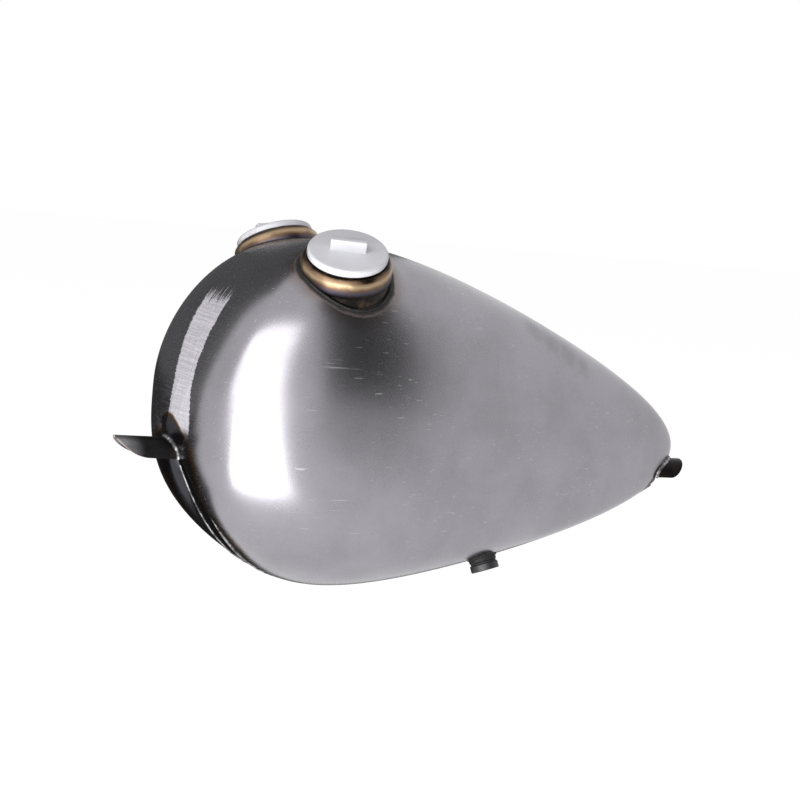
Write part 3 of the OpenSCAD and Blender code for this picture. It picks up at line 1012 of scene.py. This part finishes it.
@dataclass
class Shells:
    """The two pressed halves."""

    team: Assembly
    skin: Skin
    rows: int = 230
    columns: int = 120
    wall: float = 1.2 * MM
    tint_top: float = 23.5 * MM
    tint_seam: float = 7 * MM
    tint_rear: float = 6 * MM
    neck_r: float = 39.5 * MM
    neck_cut: float = 38.6 * MM
    bung_r: float = 12.3 * MM
    bung_cut: float = 11.5 * MM

    def along(self, t: float) -> float:
        """Row spacing, closer towards the rims."""
        return t + ((1 - math.cos(math.pi * t)) / 2 - t) * 0.7

    def around(self, t: float) -> float:
        """Column spacing, closer at the section's corners."""
        return t - 0.03 * math.sin(4 * math.pi * t)

    def warmth(self, spot: Vector, seam: Sequence[Vector]) -> float:
        """How far a point lies from the welds at the rims and the lower seam.

        Args:
            spot: The point, on the right half.
            seam: Points of the lower seam.

        Returns:
            The distance as a share of how far the heat tint spreads there.
        """
        skin = self.skin
        share = max(0.0, min(1.0, spot.z / skin.tunnel_r))
        arch = max(0.0, math.hypot(spot.y, max(spot.z, 0.0)) - skin.tunnel_r)
        fore = math.hypot(arch, spot.x - skin.front_rake * (1 - share * share))
        aft = math.hypot(arch, spot.x - skin.length + skin.rear_rake * (1 - share * share))
        low = min((spot - p).length for p in seam) if spot.z < 30 * MM else 1.0
        forward = max(0.0, min(1.0, (0.15 - spot.x) / 0.09))
        wide = max(self.tint_top, 0.76 * spot.y) * forward + self.tint_seam * (1 - forward)
        return min(fore / wide, low / wide, aft / self.tint_rear)

    def build(self, side: Side) -> bpy.types.Object:
        """Makes one half.

        Args:
            side: Which half.

        Returns:
            The piece.
        """
        neck, bung = neck_seat(), bung_seat()
        bm = bmesh.new()
        bmesh.ops.create_grid(bm, x_segments=self.rows, y_segments=self.columns, size=0.5)
        marks = {name: bm.verts.layers.float.new(name) for name in ("warmth", "neck", "bung")}
        seam = [self.skin.bezier(self.skin.under, k / 60) for k in range(61)]
        near_neck, near_bung = {}, {}
        for vert in bm.verts:
            u, v = self.along(vert.co.x + 0.5), self.around(vert.co.y + 0.5)
            spot = self.skin.point(u, v)
            vert.co = (spot.x, spot.y * side.value, spot.z)
            vert[marks["warmth"]] = self.warmth(spot, seam)
            near_neck[vert] = neck.radius(spot) if spot.z > 0.1 else 1.0
            near_bung[vert] = bung.radius(spot) if spot.z < 0 and side is Side.LEFT else 1.0
            vert[marks["neck"]] = near_neck[vert] - self.neck_r
            vert[marks["bung"]] = near_bung[vert] - self.bung_r
        holes = [
            f for f in bm.faces
            if all(near_neck[v] < self.neck_cut or near_bung[v] < self.bung_cut for v in f.verts)
        ]
        bmesh.ops.delete(bm, geom=holes, context="FACES")
        if side is Side.LEFT:
            bmesh.ops.reverse_faces(bm, faces=bm.faces)
        made = settle(bm, f"{side.word}_half_skin", 50.0)
        thicken(made, self.wall)
        return self.team.hand_over(made, f"{side.word}_shell", "tank", Slot.RAW)


@dataclass
class Saddle:
    """The tunnel, its two tabs and the welds round them."""

    team: Assembly
    skin: Skin
    cut: bpy.types.Material
    plate: float = 2 * MM
    bead: float = 2 * MM

    def tab(self, node: str, rim: float, rake: float, straight: float, tongue: float) -> bpy.types.Object:
        """A half-round tab with a rounded tongue.

        Args:
            node: The CAD node.
            rim: Where the crown's edge is along X.
            rake: How far the rim is set back at the sides, with the tab's own direction reversed.
            straight: Length of the level part.
            tongue: Length of the rounded part.

        Returns:
            The piece.
        """
        way = -1 if rake > 0 else 1
        r = self.skin.tunnel_r
        bm = bmesh.new()
        bmesh.ops.create_grid(bm, x_segments=48, y_segments=32, size=0.5)
        for vert in bm.verts:
            run = (vert.co.x + 0.5) * (straight + tongue)
            taper = max(0.0, (run - straight) / tongue)
            angle = vert.co.y * 2 * math.acos(min(0.999, taper * taper))
            lift = math.cos(angle)
            follow = rake * lift * lift * max(0.0, 1 - run / straight)
            vert.co = (rim + rake + way * run - follow, r * math.sin(angle), r * lift)
        bmesh.ops.recalc_face_normals(bm, faces=bm.faces)
        outward = Vector((0, 1, 1))
        if sum(f.normal.dot(f.calc_center_median() * outward) for f in bm.faces) < 0:
            bmesh.ops.reverse_faces(bm, faces=bm.faces)
        made = settle(bm, f"{node}_plate", 50.0)
        thicken(made, self.plate).material_offset_rim = 1
        edge = made.modifiers.new("edge", "BEVEL")
        edge.width = 0.35 * MM
        edge.segments = 2
        edge.limit_method = "ANGLE"
        edge.angle_limit = math.radians(50)
        self.team.hand_over(made, node, "tank", Slot.PLATE)
        made.data.materials.append(self.cut)
        return made

    def weld(self, node: str, rim: float, rake: float, seed: int) -> bpy.types.Object:
        """The bead over a rim.

        Args:
            node: The CAD node.
            rim: Where the crown's edge is along X.
            rake: How far the rim is set back at the sides.
            seed: Picks the lumps.

        Returns:
            The piece.
        """
        dice = random.Random(seed)
        steps = 110
        reach = self.skin.tunnel_r + self.bead * 0.35
        sign = 1 if rake > 0 else -1
        path = []
        for k in range(steps + 1):
            a = math.pi * k / steps
            c = math.sin(a)
            path.append(Vector((
                rim + rake * (1 - c * c) - sign * self.bead * 0.4 + dice.uniform(-0.2, 0.2) * MM,
                reach * math.cos(a), reach * c,
            )))
        ripple = Ripple(dice, self.bead, 0.82, 0.2, 14 * math.pi, 0.05, dice.uniform(0, 6))
        made = bead_object(f"{node}_bead", path, ripple, False)
        return self.team.hand_over(made, node, "tank", Slot.BEAD)

    def build(self) -> None:
        """Makes the tabs and welds and dresses the tunnel."""
        skin = self.skin
        self.tab("front_tab", 0.0, skin.front_rake, 26 * MM, 29 * MM)
        self.tab("rear_tab", skin.length, -skin.rear_rake, 17 * MM, 16 * MM)
        self.weld("front_tab_weld", 0.0, skin.front_rake, 3)
        self.weld("rear_tab_weld", skin.length, -skin.rear_rake, 5)
        self.team.dress("tunnel", Slot.PLATE)


@dataclass
class Seams:
    """The welds inside the centre seam and along the two lower seams."""

    team: Assembly
    skin: Skin
    bead: float = 1.2 * MM

    def build(self) -> None:
        """Makes the two lower seams and dresses the hidden one."""
        steps = 220
        for side in Side:
            ripple = Ripple(random.Random(20 + side.value), self.bead, 0.85, 0.12, 190, 0.06)
            path = [self.skin.bezier(self.skin.under, k / steps) for k in range(2, steps - 1)]
            path = [p * side.flip for p in path]
            made = bead_object(f"{side.word}_lower_seam", path, ripple, False, 3)
            self.team.hand_over(made, f"{side.word}_seam_weld", "tank", Slot.BEAD)
        self.team.dress("centre_seam_weld", Slot.BEAD)


@dataclass
class FillerNeck:
    """One neck: ring, insert, weld, gasket and screw plug."""

    team: Assembly
    skin: Skin
    side: Side
    turn: float
    rise: float = 10.5 * MM
    lip_r: float = 36 * MM
    wide_r: float = 39.5 * MM
    collar_r: float = 38.5 * MM
    insert_r: float = 33.5 * MM
    bulge: float = 10 * MM
    height: float = 17 * MM
    collar: float = 26 * MM
    sheet: float = 1.5 * MM
    head_r: float = 34.5 * MM
    head_t: float = 6 * MM
    head_round: float = 2.5 * MM
    gasket: float = 1 * MM

    def stand(self, lift: float = 0.0) -> Matrix:
        """The neck's frame, on its sealing face."""
        return neck_seat().matrix(self.side, self.rise + lift)

    def ring(self) -> bpy.types.Object:
        """The pressed ring, with its distance below the face kept for the heat tints, the painted highlight
        and the painted shade.
        """
        z = -0.6 * MM
        fillet = 1.6 * MM
        sweep = self.wide_r - self.lip_r
        upper = []
        for k in range(13):
            a = math.pi / 2 * k / 12
            upper.append((self.lip_r + sweep * math.sin(a), z - self.bulge * (1 - math.cos(a))))
        upper = [p for p in upper if p[1] < z - 1.4 * MM]
        upper = arc(self.lip_r - fillet * 0.2, z - fillet, fillet, 90, 20, 5) + upper
        drop, tuck = self.height - self.bulge, self.wide_r - self.collar_r
        lower = []
        for k in range(1, 9):
            a = math.pi / 2 * k / 8
            lower.append((self.collar_r + tuck * math.cos(a), z - self.bulge - drop * math.sin(a)))
        bore = self.collar_r - self.sheet
        foot = [(self.collar_r, z - self.collar), (bore, z - self.collar)]
        inner = [(bore, z - self.height), (self.lip_r, z - self.bulge), (self.insert_r, z - self.sheet)]
        profile = [(self.insert_r, z), *upper, *lower, *foot, *inner, (self.insert_r, z)]
        bm = turned_from(profile, self.stand(), 144)
        mark = bm.verts.layers.float.new("drop")
        back = self.stand().inverted()
        for vert in bm.verts:
            vert[mark] = -(back @ vert.co).z
        made = settle(bm, f"{self.side.word}_ring", 40.0)
        return self.team.hand_over(made, f"{self.side.word}_neck_ring", "tank", Slot.TINTED)

    def weld(self) -> bpy.types.Object:
        """The bead where the ring meets the skin, near-black with soot and painted shade."""
        dice = random.Random(40 + self.side.value)
        path = [p * self.side.flip for p in neck_seat().saddle(self.skin, 39.6 * MM, 260)]
        ripple = Ripple(dice, 2 * MM, 0.56, 0.14, 74 * math.pi, 0.05)
        made = bead_object(f"{self.side.word}_neck_bead", path, ripple, True)
        return self.team.hand_over(made, f"{self.side.word}_neck_weld", "tank", Slot.SOOT)

    def cap(self) -> bpy.types.Object:
        """The white screw plug: head, grip bar and ribbed skirt."""
        skirt_r, skirt_wall, skirt = 30.9 * MM, 2.4 * MM, 12 * MM
        r, t, soft = self.head_r, self.head_t, self.head_round
        pitch, flute = 3 * MM, 0.6 * MM
        root, inside = skirt_r - flute, skirt_r - skirt_wall
        thread = []
        for k in range(4):
            top = -k * pitch - 0.2 * MM
            thread += [(skirt_r, top), (skirt_r, top - 1.2 * MM)]
            thread += [(root, top - 1.9 * MM), (root, top - 2.4 * MM)]
        profile = [
            (0, t), *arc(r - soft, t - soft, soft, 90, 0, 8), *arc(r - flute, flute, flute, 0, -90, 3),
            (skirt_r, 0), *thread, (root, -skirt), (inside, -skirt), (inside, 0), (0, 0),
        ]
        stand = self.stand(self.gasket)
        bm = turned_from(profile, stand, 144)
        tall = 12.5 * MM
        bar = block((31 * MM, 6.5 * MM, tall), (0, 0, t - soft + tall / 2), 1.2 * MM, 0.7 * MM)
        spun = Matrix.Rotation(math.radians(self.turn), 3, "Z")
        bmesh.ops.rotate(bar, cent=(0, 0, 0), matrix=spun, verts=bar.verts)
        bmesh.ops.transform(bar, matrix=stand, verts=bar.verts)
        if stand.determinant() < 0:
            bmesh.ops.reverse_faces(bar, faces=bar.faces)
        absorb(bm, bar)
        made = settle(bm, f"{self.side.word}_screw_plug", 40.0)
        return self.team.hand_over(made, f"{self.side.word}_cap", f"{self.side.word}_plug", Slot.WHITE)

    def build(self) -> None:
        """Makes every piece of the neck."""
        self.ring()
        self.weld()
        self.cap()
        self.team.dress(f"{self.side.word}_neck_insert", Slot.TINTED)
        self.team.dress(f"{self.side.word}_cap_gasket", Slot.RUBBER)


@dataclass
class Outlet:
    """The petcock bung with its weld, o-ring and transport plug."""

    team: Assembly
    skin: Skin
    bung_r: float = 12.3 * MM
    bore_r: float = 9 * MM
    stand_off: float = 4 * MM
    depth: float = 8 * MM
    plug_r: float = 12.7 * MM
    plug_t: float = 6.5 * MM
    gap: float = 1.6 * MM

    def build(self) -> None:
        """Makes the pieces."""
        seat = bung_seat()
        stand = seat.matrix(Side.LEFT)
        edge = 0.5 * MM
        profile = [
            (self.bore_r, self.stand_off), (self.bung_r - edge, self.stand_off),
            (self.bung_r, self.stand_off - edge), (self.bung_r, -self.depth),
            (self.bore_r, -self.depth), (self.bore_r, self.stand_off),
        ]
        made = settle(turned_from(profile, stand, 96), "outlet_bung", 30.0)
        self.team.hand_over(made, "petcock_bung", "tank", Slot.SOOT)
        face = self.stand_off + self.gap
        top = face + self.plug_t
        stem_r, stem, wall, soft = 8.9 * MM, 11 * MM, 2 * MM, 0.8 * MM
        plug = [
            (0, top), *arc(self.plug_r - soft, top - soft, soft, 90, 0, 4),
            *arc(self.plug_r - soft, face + soft, soft, 0, -90, 4), (stem_r, face), (stem_r, face - stem),
            (stem_r - wall, face - stem), (stem_r - wall, face), (0, face),
        ]
        made = settle(turned_from(plug, stand, 96), "transport_plug", 30.0)
        self.team.hand_over(made, "petcock_plug", "outlet_plug", Slot.BLACK)
        self.team.dress("petcock_o_ring", Slot.RUBBER)
        path = [p * Side.LEFT.flip for p in seat.saddle(self.skin, 12.4 * MM, 140)]
        ripple = Ripple(random.Random(8), 1.4 * MM, 0.8, 0.15, 30 * math.pi, 0.06)
        made = bead_object("outlet_bead", path, ripple, True, 4)
        self.team.hand_over(made, "petcock_weld", "tank", Slot.SOOT)


@dataclass
class Studio:
    """Floor, world, lamps and camera."""

    floor_z: float = -0.34
    azimuth: float = 24.1
    elevation: float = 6.1
    roll: float = 5.6
    distance: float = 2.173
    aim: Point = (0.2161, 0.0, 0.0587)
    lens: float = 109.2
    room_light: float = 0.25
    floor_share: float = 0.5
    floor_glow: float = 1.75

    def camera(self) -> None:
        """Sets the camera up."""
        t, e, r = (math.radians(a) for a in (self.azimuth, self.elevation, self.roll))
        back = Vector((-math.sin(t) * math.cos(e), -math.cos(t) * math.cos(e), math.sin(e)))
        right = Vector((math.cos(t), -math.sin(t), 0))
        up = back.cross(right)
        side = right * math.cos(r) + up * math.sin(r)
        top = up * math.cos(r) - right * math.sin(r)
        spot = Vector(self.aim) + back * self.distance
        data = bpy.data.cameras.new("view")
        data.lens = self.lens
        data.sensor_width = 36.0
        made = bpy.data.objects.new("view", data)
        made.matrix_world = framed(side, top, back, spot)
        bpy.context.scene.collection.objects.link(made)
        bpy.context.scene.camera = made

    def world(self) -> None:
        """A white surround that lights the tank less than it shows."""
        g = Graph("studio", world=True)
        levels = {"Value": g.seen(), "To Min": self.room_light, "To Max": 1.0}
        g.feed(g.shader.inputs["Strength"], g.node("ShaderNodeMapRange", {}, levels))
        g.feed(g.shader.inputs["Color"], WHITE)
        bpy.context.scene.world = g.block

    def floor(self) -> None:
        """A pale floor that keeps a soft shadow."""
        bm = bmesh.new()
        bmesh.ops.create_grid(bm, x_segments=1, y_segments=1, size=12.0)
        bmesh.ops.translate(bm, vec=(0.2, 0, self.floor_z), verts=bm.verts)
        made = settle(bm, "studio_floor")
        g = Graph("pale_floor")
        g.finish(Base_Color=(0.9, 0.9, 0.9), Roughness=1.0, Specular_IOR_Level=0.0)
        matt = Value(g, g.shader.outputs[0])
        glow = g.glow(self.floor_glow)
        shade = g.node("ShaderNodeMixShader", {}, [g.seen() * self.floor_share, matt, glow])
        made.data.materials.append(g.surface(shade))

    def facing(self, azimuth: float, elevation: float, distance: float) -> Matrix:
        """A frame that stands off from the tank, with its back to it.

        Args:
            azimuth: Its direction from the tank, in degrees from +X.
            elevation: Its height, in degrees.
            distance: How far it stands.

        Returns:
            The matrix, with Z away from the tank.
        """
        a, e = math.radians(azimuth), math.radians(elevation)
        way = Vector((math.cos(a) * math.cos(e), math.sin(a) * math.cos(e), math.sin(e)))
        turn = way.to_track_quat("Z", "Y").to_matrix().to_4x4()
        return Matrix.Translation(Vector(self.aim) + way * distance) @ turn

    def lamp(self, name: str, place: Point, size: tuple[float, float], watts: float) -> None:
        """A soft box aimed at the tank.

        Args:
            name: The lamp's name.
            place: Azimuth and elevation in degrees, and distance.
            size: Width and height.
            watts: Its power.
        """
        data = bpy.data.lights.new(name, "AREA")
        data.shape = "RECTANGLE"
        data.size, data.size_y = size
        data.energy = watts
        made = bpy.data.objects.new(name, data)
        made.matrix_world = self.facing(*place)
        made.visible_camera = False
        bpy.context.scene.collection.objects.link(made)

    def card(self, name: str, place: Point, size: tuple[float, float], tone: float) -> None:
        """A dark card that only reflections show.

        Args:
            name: The card's name.
            place: Azimuth and elevation in degrees, and distance.
            size: Width and height.
            tone: How light it is.
        """
        bm = bmesh.new()
        bmesh.ops.create_grid(bm, x_segments=1, y_segments=1, size=0.5)
        bmesh.ops.scale(bm, vec=(*size, 1), verts=bm.verts)
        bmesh.ops.transform(bm, matrix=self.facing(*place), verts=bm.verts)
        made = settle(bm, name)
        g = Graph(name)
        made.data.materials.append(g.surface(g.glow(tone)))
        for ray in ("camera", "diffuse", "transmission", "shadow"):
            setattr(made, f"visible_{ray}", False)

    def build(self) -> None:
        """Makes the whole studio."""
        self.world()
        self.floor()
        self.lamp("front_box", (-135, 12, 3.2), (4.6, 3.8), 150)
        self.lamp("low_box", (-132, -30, 0.66), (0.66, 0.56), 5.0)
        self.card("side_card", (-61, 26, 1.5), (0.92, 1.9), 0.03)
        self.card("far_card", (97, 26, 1.3), (1.7, 2.2), 0.12)
        self.card("low_far_card", (97, -34, 0.5), (1.0, 0.7), 0.02)
        self.camera()


FINISHES = {
    Slot.RAW: RawSteel(),
    Slot.PLATE: DarkPlate(),
    Slot.TINTED: TintedSteel(),
    Slot.BEAD: WeldMetal(),
    # Near-black bead and bung: soot, and round the necks also painted shade under the rings.
    Slot.SOOT: WeldMetal(
        "sooted_weld", (0.02, 0.018, 0.017), (0.006, 0.006, 0.006), (0.02, 0.012, 0.009), 0.1
    ),
    Slot.WHITE: Moulding("glossy_white_plastic", (0.65, 0.645, 0.685), 0.25, 0.02, 0.3),
    Slot.BLACK: Moulding("black_plastic", (0.016, 0.016, 0.018), 0.4, 0.05),
    Slot.RUBBER: Moulding("black_rubber", (0.014, 0.014, 0.014), 0.65, 0.04),
}


def main() -> None:
    """Builds the tank and its studio."""
    logging.basicConfig(level=logging.INFO, format="%(name)s: %(message)s")
    bpy.context.scene.view_settings.view_transform = "Standard"
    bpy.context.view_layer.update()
    team = Assembly({slot: finish.build() for slot, finish in FINISHES.items()})
    skin = Skin()
    shells = Shells(team, skin)
    for side in Side:
        shells.build(side)
    cut_edge = Moulding("sheared_edge", (0.5, 0.42, 0.4), 0.35, 0.05, metal=0.9)
    Saddle(team, skin, cut_edge.build()).build()
    Seams(team, skin).build()
    FillerNeck(team, skin, Side.LEFT, 24.0).build()
    FillerNeck(team, skin, Side.RIGHT, 10.0).build()
    Outlet(team, skin).build()
    Studio().build()


if __name__ == "__main__":
    main()
